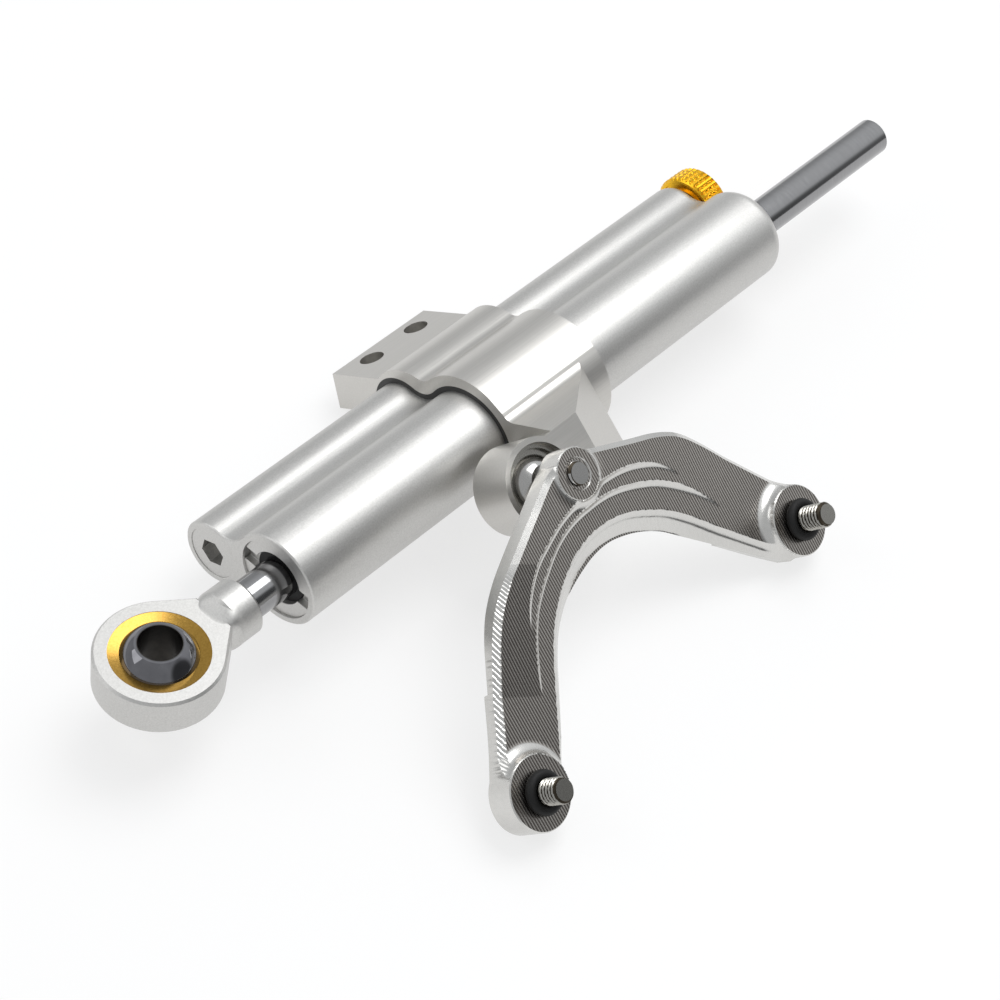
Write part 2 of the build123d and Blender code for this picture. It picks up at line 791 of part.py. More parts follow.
with BuildPart() as fork:
    with BuildSketch(arm_plane):
        for arm, elbow in ((left_arm, left_elbow), (right_arm, right_elbow)):
            bar(arm_root, elbow, arm_width)
            bar(elbow, arm, arm_width)
    extrude(amount=fork_relief - fork_thickness)
    face_edges = fork.faces().sort_by(fork_axis)[-1].edges()
    chamfer(face_edges, arm_chamfer)
    with BuildSketch(arm_plane):
        Polygon(
            left_arm,
            left_elbow,
            arm_root,
            right_elbow,
            right_arm,
            beside(right_elbow, right_arm, 1, -arm_width / 2),
            beside(right_elbow, right_arm, gap_foot_share, -gap_foot_reach),
            beside(left_elbow, left_arm, gap_foot_share, gap_foot_reach),
            beside(left_elbow, left_arm, 1, arm_width / 2),
            align=None,
        )
    extrude(amount=fork_relief - fork_thickness)
    with BuildSketch(arm_plane) as gap:
        Polygon(
            beside(left_elbow, left_arm, 2, 0),
            left_elbow,
            arm_root,
            right_elbow,
            beside(right_elbow, right_arm, 2, 0),
            align=None,
        )
        offset(amount=-gap_edge, kind=Kind.INTERSECTION)
        for place, gap_round in (
            (arm_root, gap_apex_round),
            (left_elbow, left_gap_round),
            (right_elbow, right_gap_round),
        ):
            fillet(gap.vertices().sort_by_distance(place)[0], gap_round)
    extrude(amount=fork_relief - fork_thickness, taper=gap_slope, mode=Mode.SUBTRACT)
    for depth, width, left_shares, right_shares in terraces:
        left_line = [on_arm(left_arm, shares) for shares in left_shares]
        right_line = [on_arm(right_arm, shares) for shares in right_shares]
        line = left_line[::-1] + right_line
        with BuildSketch(arm_plane):
            for start, end in zip(line, line[1:]):
                bar(start, end, width)
        extrude(amount=-depth, taper=terrace_slope, mode=Mode.SUBTRACT)
    for arm, elbow, share in (
        (left_arm, left_elbow, left_zone_share),
        (right_arm, right_elbow, right_zone_share),
    ):
        with BuildSketch(arm_plane):
            Polygon(
                beside(elbow, arm, share, arm_width),
                beside(elbow, arm, share, -arm_width),
                beside(elbow, arm, 2, -arm_width),
                beside(elbow, arm, 2, arm_width),
                align=None,
            )
        extrude(amount=-tip_zone_depth, taper=zone_slope, mode=Mode.SUBTRACT)
    with BuildSketch(fork_plane.offset(fork_face_height)):
        Circle(apex_boss_radius)
    extrude(amount=-fork_thickness)
    with BuildSketch(fork_plane.offset(fork_face_height)):
        with Locations(left_arm, right_arm):
            Circle(tip_boss_radius)
    extrude(amount=-tip_thickness)
    with BuildSketch(fork_section):
        turned(0, stud_end, 0, stud_radius + running_gap)
        turned(fork_face_height - apex_counterbore_depth, stud_end, 0, apex_counterbore_radius)
    revolve(axis=fork_axis, mode=Mode.SUBTRACT)
    with BuildSketch(fork_plane.offset(fork_face_height)):
        with Locations(left_arm, right_arm):
            Circle(screw_seat_radius + seat_gap)
    extrude(amount=-tip_thickness, mode=Mode.SUBTRACT)
    with BuildSketch(fork_plane.offset(fork_face_height - tip_thickness)):
        with Locations(left_arm, right_arm):
            Circle(screw_head_radius + seat_gap)
    extrude(amount=screw_head_height, mode=Mode.SUBTRACT)
fork.part.label = "fork"

screw_back = fork_face_height - tip_thickness
screw_head_top = screw_back + screw_head_height - seat_gap


def tip_section(arm):
    """Plane through the axis of an arm's tip, with its local x along that axis."""
    origin = fork_plane.from_local_coords(Vector(*arm, 0))
    return Plane(origin=origin, x_dir=fork_normal, z_dir=fork_section.z_dir)


def tip_axis(arm):
    """Axis of the screw in an arm's tip."""
    return Axis(tip_section(arm).origin, fork_normal)


with BuildPart() as tip_screws:
    for arm, proud in ((left_arm, left_screw_proud), (right_arm, right_screw_proud)):
        screw_end = fork_face_height + proud
        neck_end = fork_face_height + screw_neck_height
        with BuildSketch(tip_section(arm)):
            Polygon(
                (screw_back, 0),
                (screw_back, screw_head_radius),
                (screw_head_top, screw_head_radius),
                (screw_head_top, screw_seat_radius),
                (fork_face_height, screw_seat_radius),
                (fork_face_height, screw_neck_radius),
                (neck_end, screw_neck_radius),
                (neck_end, screw_radius),
                (screw_end - screw_end_chamfer, screw_radius),
                (screw_end, screw_radius - screw_end_chamfer),
                (screw_end, 0),
                align=None,
            )
        revolve(axis=tip_axis(arm))
        with BuildSketch(fork_plane.offset(screw_back)):
            with Locations(arm):
                RegularPolygon(screw_hex_across / 2, 6, major_radius=False)
        extrude(amount=screw_hex_depth, mode=Mode.SUBTRACT)
tip_screws.part.label = "tip_screws"

tip_ring_radius = screw_neck_radius + seat_gap + tip_oring_section
with BuildPart() as tip_rings:
    for arm in (left_arm, right_arm):
        with BuildSketch(tip_section(arm)):
            with Locations((fork_face_height + tip_oring_section, tip_ring_radius)):
                Circle(tip_oring_section)
        revolve(axis=tip_axis(arm))
tip_rings.part.label = "tip_rings"

# Every piece is written under its own name
pieces = [
    twin_tube,
    near_gland,
    near_gland_ring,
    near_rod_bush,
    near_rod_wiper,
    far_rod_bush,
    far_rod_wiper,
    piston_rod,
    piston,
    piston_band,
    piston_clips,
    rod_end,
    rod_end_race,
    rod_end_ball,
    side_plug,
    side_plug_ring,
    reserve_piston,
    reserve_piston_ring,
    adjuster_sleeve,
    metering_needle,
    adjuster_knob,
    detent_ball,
    clamp_bracket,
    clamp_liner,
    bearing_cup,
    cup_ring,
    ball_stud,
    fork,
    tip_screws,
    tip_rings,
]
os.makedirs("parts", exist_ok=True)
for piece in pieces:
    export_step(piece.part, f"parts/{piece.part.label}.step")

for name, point in (("pivot", pivot), ("lug normal", lug_normal), ("fork normal", fork_normal)):
    print(name, [round(value, 4) for value in point])
for name, arm in (("left tip", left_arm), ("right tip", right_arm)):
    tip = fork_plane.from_local_coords(Vector(*arm, fork_face_height))
    print(name, [round(value, 4) for value in tip])
for place in flange_holes:
    hole = flange_plane.from_local_coords(Vector(place, 0, 0))
    print("flange hole", [round(value, 4) for value in hole])
print("flange normal", [round(value, 4) for value in flange_up])
for piece in (fork, tip_screws, clamp_bracket):
    print("lowest of", piece.part.label, round(piece.part.bounding_box().min.Z, 3))
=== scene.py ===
"""The look of the steering damper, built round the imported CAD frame.

The scene is in metres. Sizes of new meshes are written in mm of the same frame and scaled by mm.
"""
import json

import bpy
import numpy as np
from mathutils import Matrix, Vector


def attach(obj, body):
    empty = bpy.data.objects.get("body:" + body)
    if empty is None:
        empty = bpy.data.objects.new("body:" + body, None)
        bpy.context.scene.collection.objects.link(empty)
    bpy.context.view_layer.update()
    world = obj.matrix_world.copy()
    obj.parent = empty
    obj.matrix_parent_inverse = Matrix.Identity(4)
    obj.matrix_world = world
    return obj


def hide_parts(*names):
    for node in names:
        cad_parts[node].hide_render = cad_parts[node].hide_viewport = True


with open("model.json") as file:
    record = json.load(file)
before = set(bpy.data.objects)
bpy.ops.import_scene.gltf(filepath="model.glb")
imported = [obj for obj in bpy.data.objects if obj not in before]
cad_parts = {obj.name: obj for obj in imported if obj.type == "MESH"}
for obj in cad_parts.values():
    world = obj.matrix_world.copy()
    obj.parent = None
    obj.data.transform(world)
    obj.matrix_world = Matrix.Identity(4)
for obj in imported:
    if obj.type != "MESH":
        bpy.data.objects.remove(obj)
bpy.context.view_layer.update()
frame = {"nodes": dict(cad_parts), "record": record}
nodes = frame["nodes"]
scene = bpy.context.scene
mm = 0.001


# Colours and nodes

def linear(colour):
    """An sRGB hex colour as linear red, green, blue and alpha."""
    parts = np.array([int(colour[place:place + 2], 16) for place in (1, 3, 5)]) / 255
    curve = np.where(parts <= 0.04045, parts / 12.92, ((parts + 0.055) / 1.055) ** 2.4)
    return (*curve.tolist(), 1.0)


def add(tree, kind, inputs=None, **settings):
    """Adds one node with its settings; an input is a value or the socket that feeds it."""
    made = tree.nodes.new(kind)
    for name, value in settings.items():
        setattr(made, name, value)
    for name, value in (inputs or {}).items():
        if isinstance(value, bpy.types.NodeSocket):
            tree.links.new(value, made.inputs[name])
        else:
            made.inputs[name].default_value = value
    return made


def new_material(name):
    """An empty material and its node tree."""
    material = bpy.data.materials.new(name)
    material.use_nodes = True
    material.node_tree.nodes.clear()
    return material, material.node_tree


def close_material(tree, surface):
    """Links a shader to the material's output."""
    add(tree, "ShaderNodeOutputMaterial", {"Surface": surface})


def principled(tree, inputs):
    """Ends a material with one Principled shader."""
    shader = add(tree, "ShaderNodeBsdfPrincipled", inputs)
    close_material(tree, shader.outputs["BSDF"])


def bumped(tree, height, depth):
    """The normal of a surface whose relief is a 0 to 1 height times a depth in metres."""
    bump = add(tree, "ShaderNodeBump", {"Height": height, "Distance": depth, "Strength": 1.0})
    return bump.outputs["Normal"]


def mixed_colour(tree, factor, first, second):
    """The first colour where the factor is 0, the second where it is 1."""
    mix = add(tree, "ShaderNodeMix", {0: factor, 6: first, 7: second}, data_type="RGBA")
    return mix.outputs[2]


def two_colours(tree, factor, low, high):
    """A ramp between two hex colours over 0 to 1."""
    ramp = add(tree, "ShaderNodeValToRGB", {"Fac": factor})
    ramp.color_ramp.elements[0].color = linear(low)
    ramp.color_ramp.elements[1].color = linear(high)
    return ramp.outputs["Color"]


def spread(tree, factor, low, high):
    """Maps a 0 to 1 pattern onto a range of values."""
    ranged = add(tree, "ShaderNodeMapRange", {"Value": factor, "To Min": low, "To Max": high})
    return ranged.outputs["Result"]


def grain(tree, size, stretch=(1, 1, 1)):
    """Noise in object space whose blotches are about size metres wide.

    A stretch below 1 along an axis draws them out along it.
    """
    place = add(tree, "ShaderNodeTexCoord").outputs["Object"]
    scaled = add(tree, "ShaderNodeMapping", {"Vector": place, "Scale": stretch})
    noise = add(
        tree,
        "ShaderNodeTexNoise",
        {"Vector": scaled.outputs["Vector"], "Scale": 1 / size, "Detail": 4.0},
    )
    return noise.outputs["Fac"]


def metal(name, low, high, pattern, smooth, rough, bump_depth):
    """A metal whose colour, roughness and relief follow one pattern.

    pattern(tree) gives its 0 to 1 value; low and high are the colours at 0 and 1.
    """
    material, tree = new_material(name)
    value = pattern(tree)
    principled(
        tree,
        {
            "Base Color": two_colours(tree, value, low, high),
            "Metallic": 1.0,
            "Roughness": spread(tree, value, smooth, rough),
            "Normal": bumped(tree, value, bump_depth),
        },
    )
    return material


def dull(name, low, high, pattern, rough, bump_depth, ior):
    """A plastic or rubber with a fine relief."""
    material, tree = new_material(name)
    value = pattern(tree)
    principled(
        tree,
        {
            "Base Color": two_colours(tree, value, low, high),
            "Roughness": rough,
            "IOR": ior,
            "Normal": bumped(tree, value, bump_depth),
        },
    )
    return material


# Bead-blasted and clear anodised aluminium: silver-white, soft highlights, a grit of about 0.3 mm
blasted = metal(
    "blasted_anodised_aluminium", "#b9b8b5", "#dddcda",
    lambda tree: grain(tree, 0.32 * mm),
    smooth=0.4, rough=0.5, bump_depth=0.02 * mm,
)
# Machined and clear anodised aluminium, with faint cutter lines along the tube
machined = metal(
    "machined_anodised_aluminium", "#c2c0bc", "#d6d4d0",
    lambda tree: grain(tree, 0.25 * mm, stretch=(0.02, 1, 1)),
    smooth=0.34, rough=0.42, bump_depth=0.003 * mm,
)
# Directions of the fork: up out of its face, right and back in its plane
fork_up = np.array([0.06198, -0.67197, 0.73798])
fork_right = np.array([1.0, 0, 0]) - fork_up * fork_up[0]
fork_right /= np.linalg.norm(fork_right)
fork_back = np.cross(fork_up, fork_right)
# Distance in mm between two passes of the cutter over the fork
pass_pitch = 0.6


def cutter_passes(tree):
    """Lines that run straight back over the fork, broken up by a speckle.

    Their value is a sine of the way to the right, put between trough and crest, plus some noise.
    """
    trough, crest, speckle_share = -0.05, 0.7, 0.35
    place = add(tree, "ShaderNodeTexCoord").outputs["Object"]
    along = add(
        tree,
        "ShaderNodeVectorMath",
        {0: place, 1: tuple(fork_right * 2 * np.pi / (pass_pitch * mm))},
        operation="DOT_PRODUCT",
    )
    wave = add(tree, "ShaderNodeMath", {0: along.outputs["Value"]}, operation="SINE")
    ranged = add(
        tree,
        "ShaderNodeMapRange",
        {
            "Value": wave.outputs[0],
            "From Min": -1.0,
            "From Max": 1.0,
            "To Min": trough,
            "To Max": crest,
        },
    )
    lines = add(
        tree,
        "ShaderNodeMath",
        {0: grain(tree, 0.2 * mm), 1: speckle_share, 2: ranged.outputs["Result"]},
        operation="MULTIPLY_ADD",
    )
    return lines.outputs[0]


def milled_material():
    """Cutter passes on faces square to the tool, and bright smooth walls, steps and hollows.

    The cosine between the normal and the fork's up direction tells a wall from a face.
    """
    wall_cosine, face_cosine = 0.965, 0.994
    material, tree = new_material("milled_aluminium")
    lines = cutter_passes(tree)
    facing = add(
        tree,
        "ShaderNodeVectorMath",
        {0: add(tree, "ShaderNodeTexCoord").outputs["Normal"], 1: tuple(fork_up)},
        operation="DOT_PRODUCT",
    )
    flat = add(
        tree,
        "ShaderNodeMapRange",
        {"Value": facing.outputs["Value"], "From Min": wall_cosine, "From Max": face_cosine},
        interpolation_type="SMOOTHSTEP",
    ).outputs["Result"]
    wall = two_colours(tree, grain(tree, 0.3 * mm, stretch=(1, 0.2, 0.2)), "#cccbc8", "#d8d7d4")
    face = two_colours(tree, lines, "#645d57", "#d2cec8")
    height = add(tree, "ShaderNodeMath", {0: lines, 1: flat}, operation="MULTIPLY").outputs[0]
    principled(
        tree,
        {
            "Base Color": mixed_colour(tree, flat, wall, face),
            "Metallic": 1.0,
            "Roughness": spread(tree, height, 0.24, 0.3),
            "Normal": bumped(tree, height, 0.03 * mm),
        },
    )
    return material


milled = milled_material()
# Hard chrome, ground and polished: dark clear reflections with faint grinding lines round the rod
hard_chrome = metal(
    "hard_chrome", "#8b8b8c", "#a1a1a2",
    lambda tree: grain(tree, 0.15 * mm, stretch=(1, 0.05, 0.05)),
    smooth=0.08, rough=0.16, bump_depth=0.001 * mm,
)
# Polished bearing steel
polished_steel = metal(
    "polished_bearing_steel", "#626266", "#7c7c80",
    lambda tree: grain(tree, 2 * mm),
    smooth=0.05, rough=0.1, bump_depth=0.001 * mm,
)


def ball_material():
    """Polished bearing steel, with painted shade in the bore round the Z axis: near black and
    rougher there.
    """
    bore_radius, rim_radius = 4.05 * mm, 4.3 * mm
    material, tree = new_material("polished_steel_painted_bore_shade")
    place = add(tree, "ShaderNodeTexCoord").outputs["Object"]
    flat = add(tree, "ShaderNodeVectorMath", {0: place, 1: (1, 1, 0)}, operation="MULTIPLY")
    radius = add(tree, "ShaderNodeVectorMath", {0: flat.outputs["Vector"]}, operation="LENGTH")
    outside = add(
        tree,
        "ShaderNodeMapRange",
        {"Value": radius.outputs["Value"], "From Min": bore_radius, "From Max": rim_radius},
    ).outputs["Result"]
    cloud = grain(tree, 2 * mm)
    # Near black colour inside the bore: painted shade of the hole
    painted_bore_shade = two_colours(tree, cloud, "#1c1b1a", "#3a3733")
    polished = two_colours(tree, cloud, "#6a6a6e", "#86868a")
    principled(
        tree,
        {
            "Base Color": mixed_colour(tree, outside, painted_bore_shade, polished),
            "Metallic": 1.0,
            "Roughness": spread(tree, outside, 0.35, 0.06),
        },
    )
    return material


ball_steel = ball_material()
# Ground steel of the ball stud, bright and clean
ground_steel = metal(
    "ground_steel", "#a9a8a6", "#c4c3c1",
    lambda tree: grain(tree, 0.2 * mm),
    smooth=0.1, rough=0.2, bump_depth=0.002 * mm,
)
# Painted shade in the roots of the threads
painted_root_shade = metal(
    "thread_roots_painted_shade", "#2c2822", "#4d463c",
    lambda tree: grain(tree, 0.2 * mm),
    smooth=0.35, rough=0.5, bump_depth=0.002 * mm,
)
# Turned stainless steel, a little grey and satin
stainless = metal(
    "turned_stainless_steel", "#a3a19b", "#b2b0aa",
    lambda tree: grain(tree, 0.2 * mm),
    smooth=0.2, rough=0.28, bump_depth=0.001 * mm,
)
# Turned brass: warm yellow with polished edges
brass = metal(
    "turned_brass", "#94712e", "#c09a50",
    lambda tree: grain(tree, 0.4 * mm),
    smooth=0.14, rough=0.24, bump_depth=0.003 * mm,
)
# Oiled bronze of the bushes
bronze = metal(
    "oiled_bronze", "#8a6238", "#a47a48",
    lambda tree: grain(tree, 0.3 * mm),
    smooth=0.3, rough=0.42, bump_depth=0.004 * mm,
)
# Gold anodised aluminium of the knob
gold = metal(
    "gold_anodised_aluminium", "#e0a514", "#f6c63a",
    lambda tree: grain(tree, 0.3 * mm),
    smooth=0.22, rough=0.34, bump_depth=0.004 * mm,
)
# Nitrile rubber: matt black with a dusty bloom
rubber = dull(
    "nitrile_rubber", "#070707", "#121212",
    lambda tree: grain(tree, 0.3 * mm),
    rough=0.6, bump_depth=0.01 * mm, ior=1.4,
)
# Filled polymer of the liner and bands: satin black. The liner is a black sheet in the gap between
# the clamp ring and the tube, and it also stands for the shade in that gap, so it is partly painted
# shade.
black_polymer_and_gap_shade = dull(
    "black_polymer_and_painted_gap_shade", "#121212", "#222221",
    lambda tree: grain(tree, 0.2 * mm),
    rough=0.42, bump_depth=0.006 * mm, ior=1.5,
)

finishes = {
    "blasted_aluminium": blasted,
    "clamp_aluminium": machined,
    "fork_aluminium": milled,
    "hard_chrome": hard_chrome,
    "bearing_steel": polished_steel,
    "stainless_steel": stainless,
    "brass": brass,
    "bronze": bronze,
    "gold_anodised": gold,
    "black_rubber": rubber,
    "black_polymer": black_polymer_and_gap_shade,
}
for part in frame["record"]["subparts"]:
    node = nodes[part["node"]]
    node.data.materials.clear()
    node.data.materials.append(finishes[part["material_slot"]])
nodes["rod_end_ball"].data.materials[0] = ball_steel


def break_edges(node, width):
    """Rounds a CAD node's sharp edges by a modifier, as deburring does."""
    weld_distance, sharp_angle = 0.002 * mm, 38
    weld = nodes[node].modifiers.new("weld", "WELD")
    weld.merge_threshold = weld_distance
    bevel = nodes[node].modifiers.new("broken_edges", "BEVEL")
    bevel.width = width
    bevel.segments = 2
    bevel.limit_method = "ANGLE"
    bevel.angle_limit = np.radians(sharp_angle)
    bevel.harden_normals = True


for node, width in (
    ("twin_tube", 0.22 * mm),
    ("near_gland", 0.15 * mm),
    ("side_plug", 0.15 * mm),
):
    break_edges(node, width)


# Meshes

crease_angle = 32


def new_piece(name, points, faces, material, body):
    """A mesh piece from points in metres and rows of corner numbers, smooth but for sharp edges."""
    mesh = bpy.data.meshes.new(name)
    mesh.from_pydata(np.asarray(points).tolist(), [], faces)
    mesh.materials.append(material)
    mesh.shade_smooth()
    mesh.set_sharp_from_angle(angle=np.radians(crease_angle))
    piece = bpy.data.objects.new(name, mesh)
    scene.collection.objects.link(piece)
    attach(piece, body)
    return piece


def closed_tube(rows, columns):
    """Faces of a tube of rows x columns points: quads all round, and one face at each end."""
    row, column = np.meshgrid(np.arange(rows - 1), np.arange(columns), indexing="ij")
    column_next = (column + 1) % columns
    corners = [
        row * columns + column,
        row * columns + column_next,
        (row + 1) * columns + column_next,
        (row + 1) * columns + column,
    ]
    faces = np.stack(corners, axis=-1).reshape(-1, 4).tolist()
    faces.append(list(range(columns))[::-1])
    faces.append(list(range((rows - 1) * columns, rows * columns)))
    return faces


def turned(name, profile, origin, axis, material, body, around=96, relief=None):
    """A body of revolution, closed by a flat face at each end.

    Profile rows are (height, radius) in mm. relief(turn, height, radius) gives the radius of every
    point instead of the profile's own.
    """
    height, radius = np.array(profile, float).T
    turn = np.linspace(0, 2 * np.pi, around, endpoint=False)
    axis = np.array(axis, float) / np.linalg.norm(axis)
    side = np.cross(axis, [0.3, 0.5, 0.8])
    side /= np.linalg.norm(side)
    other = np.cross(axis, side)
    turn_grid, height_grid = np.meshgrid(turn, height)
    radius_grid = np.repeat(radius[:, None], around, axis=1)
    if relief:
        radius_grid = relief(turn_grid, height_grid, radius_grid)
    points = (
        np.array(origin, float)
        + height_grid[..., None] * axis
        + (radius_grid * np.cos(turn_grid))[..., None] * side
        + (radius_grid * np.sin(turn_grid))[..., None] * other
    ).reshape(-1, 3)
    return new_piece(name, points * mm, closed_tube(len(height), around), material, body)


def smooth_line(points, at):
    """A smooth curve v(u) through chosen points, in cubic pieces."""
    x, y = np.array(points, float).T
    slope = np.gradient(y, x)
    piece = np.clip(np.searchsorted(x, at) - 1, 0, len(x) - 2)
    width = x[piece + 1] - x[piece]
    t = (at - x[piece]) / width
    return (
        (2 * t**3 - 3 * t**2 + 1) * y[piece]
        + (t**3 - 2 * t**2 + t) * width * slope[piece]
        + (3 * t**2 - 2 * t**3) * y[piece + 1]
        + (t**3 - t**2) * width * slope[piece + 1]
    )


def inside_line(points, u, v):
    """Distance of points (u, v) below the smooth curve through the chosen points."""
    step = 0.05
    slope = (smooth_line(points, u + step) - smooth_line(points, u - step)) / (2 * step)
    return (smooth_line(points, u) - v) / np.sqrt(1 + slope**2)


# Fork: a loft from tip to tip in the plane square to the ball stud, with u to the right, v back
# and heights up. All sizes are mm from the pivot.

pivot = np.array([75.4, -20.2037, 7.153])
boss_face = 14.69
arm_face = 14.24
arm_back = 9.39
tip_back = 8.37
left_tip = np.array([-43.07, -41.36])
right_tip = np.array([43.6, -35.58])
apex_radius = 5.09
tip_radius = 7.11
step_depth = 0.95
edge_chamfer = 1.0
# The cutter leaves notches in the left arm's chamfer from this place on, deeper over the fade
edge_notch = 0.24
notch_start = -24.0
notch_fade = 6.0
# Widths of the hollows round the bosses, and how far the loft sinks inside a boss, over which way
apex_cove = 2.3
tip_cove = 2.6
boss_clearance = 0.6
clearance_run = 0.5
# Least height of the loft's sides, and the number of its sections and of its points across
least_side = 0.35
station_count = 841
chamfer_points = 8
face_points = 94

outer_edge = [
    (-49.6, -38.6), (-43.8, -30.4), (-37.8, -20.6), (-33.8, -14.5), (-31.4, -11.6),
    (-28.8, -9.3), (-25.6, -7.1), (-21.0, -4.6), (-13.0, -0.6), (-4.0, 3.6), (-1.5, 4.3),
    (1.0, 3.8), (8.4, 1.3), (16.0, -1.35), (22.5, -3.6), (25.0, -4.75), (27.4, -6.15),
    (29.5, -7.9), (31.6, -10.15), (38.0, -18.1), (42.6, -23.9), (50.5, -33.8),
]
inner_foot = [
    (-37.6, -45.6), (-34.4, -41.9), (-31.2, -38.0), (-27.4, -33.1), (-24.2, -28.8),
    (-21.3, -25.0), (-17.6, -21.4), (-13.9, -19.1), (-10.7, -17.8), (-6.9, -16.6),
    (-3.0, -15.7), (0.4, -15.4), (3.3, -15.6), (5.9, -16.2), (10.8, -18.0), (15.2, -20.6),
    (19.0, -23.9), (26.6, -30.9), (34.4, -38.0), (38.6, -41.6),
]
upper_step = [
    (-29.5, -21.5), (-27.0, -17.0), (-24.9, -14.1), (-22.3, -11.5), (-19.2, -9.2),
    (-13.0, -6.5), (-9.0, -5.2), (-3.9, -4.3), (2.0, -3.9), (7.0, -4.1), (9.9, -4.5),
    (15.0, -6.0), (19.9, -8.6), (23.8, -12.3), (27.0, -16.5),
]
lower_step = [
    (-34.5, -33.6), (-32.3, -29.7), (-30.0, -25.6), (-26.2, -19.6), (-23.0, -15.8),
    (-19.3, -12.9), (-16.1, -10.9), (-10.2, -8.0), (-6.0, -6.9), (-0.2, -6.5), (5.7, -6.9),
    (13.4, -9.2), (18.0, -11.5), (22.0, -14.5), (26.0, -18.2), (30.9, -24.1), (33.0, -27.0),
]
inner_step = [
    (-37.0, -44.8), (-33.0, -38.6), (-29.1, -32.5), (-26.2, -28.0), (-23.1, -23.5),
    (-20.1, -20.0), (-16.4, -16.9), (-10.4, -13.4), (-2.6, -11.3), (3.3, -11.5), (8.5, -12.8),
    (13.1, -15.0), (17.4, -17.7), (21.2, -21.1), (26.5, -26.7), (33.9, -34.2), (39.0, -39.4),
]
# The outer faces of the lower arms lean down towards the tips, from these places and these ways
left_lean_start = np.array([-22.3, -6.1])
left_lean_way = np.array([-0.507, -0.862])
right_lean_start = np.array([14.4, -4.9])
right_lean_way = np.array([0.69, -0.724])
lean = 0.0805
lean_limit = 1.9
# Width of a step's hollow foot, the fall of the inner foot beyond it, and the tip's thicker pad
step_run = 1.3
foot_fall = 0.72
pad_start = 19.0
# Where the sections stand on the outer edge and on the inner foot, at equal counts of sections
outer_marks = [-49.6, -29.7, -1.5, 27.6, 50.5]
inner_marks = [-37.6, -18.6, 0.4, 15.5, 38.6]


def ease(x):
    """Rises from 0 to 1 with a hollow foot, as a ball cutter leaves it."""
    x = np.clip(x, 0, 1)
    return 1 - (1 - x) ** 1.7


def cove(distance, width):
    """Quarter round hollow: 1 at the boss's wall, 0 at a width from it."""
    x = np.clip(1 - distance / width, 0, 1)
    return 1 - np.sqrt(1 - x**2)


def fork_height(u, v, from_edge):
    """Height of the fork's upper surface: the lowest of its outer face, two steps and inner slope,
    with a chamfer along the outer edge and a hollow round at each boss.
    """
    place = np.stack([u, v], axis=-1)
    leaning = np.maximum(
        (place - left_lean_start) @ left_lean_way,
        (place - right_lean_start) @ right_lean_way,
    )
    depth = np.clip(lean * leaning, 0, lean_limit)
    face = depth
    first = inside_line(upper_step, u, v)
    depth = np.where(first > 0, np.maximum(depth, step_depth * ease(first / step_run)), depth)
    second = inside_line(lower_step, u, v)
    second_depth = step_depth + step_depth * ease(second / step_run)
    depth = np.where(second > 0, np.maximum(depth, second_depth), depth)
    third = inside_line(inner_step, u, v)
    foot = 2 * step_depth + step_depth * ease(third / step_run)
    foot = foot + foot_fall * np.maximum(third - step_run, 0)
    depth = np.where(third > 0, np.maximum(depth, foot), depth)
    notched = np.clip((notch_start - u) / notch_fade, 0, 1)
    notch = edge_notch * notched * (0.5 + 0.5 * np.cos(2 * np.pi * u / pass_pitch))
    depth = np.maximum(depth, face + edge_chamfer + notch - from_edge)
    height = arm_face - depth
    for centre, radius, width in (
        (np.zeros(2), apex_radius, apex_cove),
        (left_tip, tip_radius, tip_cove),
        (right_tip, tip_radius, tip_cove),
    ):
        distance = np.linalg.norm(place - centre, axis=-1) - radius
        height = height + (boss_face - height) * cove(np.maximum(distance, 0), width)
        height = height - boss_clearance * np.clip(-distance / clearance_run, 0, 1)
    return height


def fork_loft():
    """Sections across the arms: upper surface from the outer edge to the inner foot, then back."""
    marks = np.arange(len(outer_marks))
    stations = np.linspace(0, marks[-1], station_count)
    outer_u = np.interp(stations, marks, outer_marks)
    inner_u = np.interp(stations, marks, inner_marks)
    outer = np.stack([outer_u, smooth_line(outer_edge, outer_u)], axis=-1)
    inner = np.stack([inner_u, smooth_line(inner_foot, inner_u)], axis=-1)
    across = np.linalg.norm(inner - outer, axis=-1)[:, None]
    on_chamfer = np.linspace(0, edge_chamfer, chamfer_points)[None, :]
    beyond = edge_chamfer + (across - edge_chamfer) * np.linspace(0, 1, face_points)[None, 1:]
    from_edge = np.concatenate([np.repeat(on_chamfer, len(outer), axis=0), beyond], axis=1)
    share = from_edge / across
    top = outer[:, None] + (inner - outer)[:, None] * share[..., None]
    height = fork_height(top[..., 0], top[..., 1], from_edge)
    gap = np.minimum(
        np.linalg.norm(outer - left_tip, axis=-1),
        np.linalg.norm(outer - right_tip, axis=-1),
    )
    back = np.where(gap < pad_start, tip_back, arm_back)
    height = np.maximum(height, back[:, None] + least_side)
    back_share = np.array([1.0, 0.98, 0.5, 0.02, 0.0])
    rise = np.array([least_side, 0.0, 0.0, 0.0, least_side])
    below = outer[:, None] + (inner - outer)[:, None] * back_share[None, :, None]
    below_height = back[:, None] + rise[None, :]
    flat = np.concatenate([top, below[:, 1:]], axis=1)
    heights = np.concatenate([height, below_height[:, 1:]], axis=1)
    points = (
        pivot
        + flat[..., :1] * fork_right
        + flat[..., 1:] * fork_back
        + heights[..., None] * fork_up
    ).reshape(-1, 3) * mm
    faces = closed_tube(*heights.shape)
    return new_piece("fork_arms_milled", points, faces, milled, "fork_arms")


def on_fork(place, height):
    """Point of the frame in mm at a place of the fork's plane and a height."""
    return pivot + place[0] * fork_right + place[1] * fork_back + height * fork_up


def boss(name, place, radius, back, bore):
    """A turned boss with small broken edges round its rims."""
    edge = 0.22
    profile = [
        (back + edge, bore), (back, bore + edge), (back, radius - edge), (back + edge, radius),
        (boss_face - edge, radius), (boss_face, radius - edge), (boss_face, bore + edge),
        (boss_face - edge, bore),
    ]
    turned(
        name, profile, on_fork(place, 0), fork_up, milled, "fork_arms",
        around=160,
    )


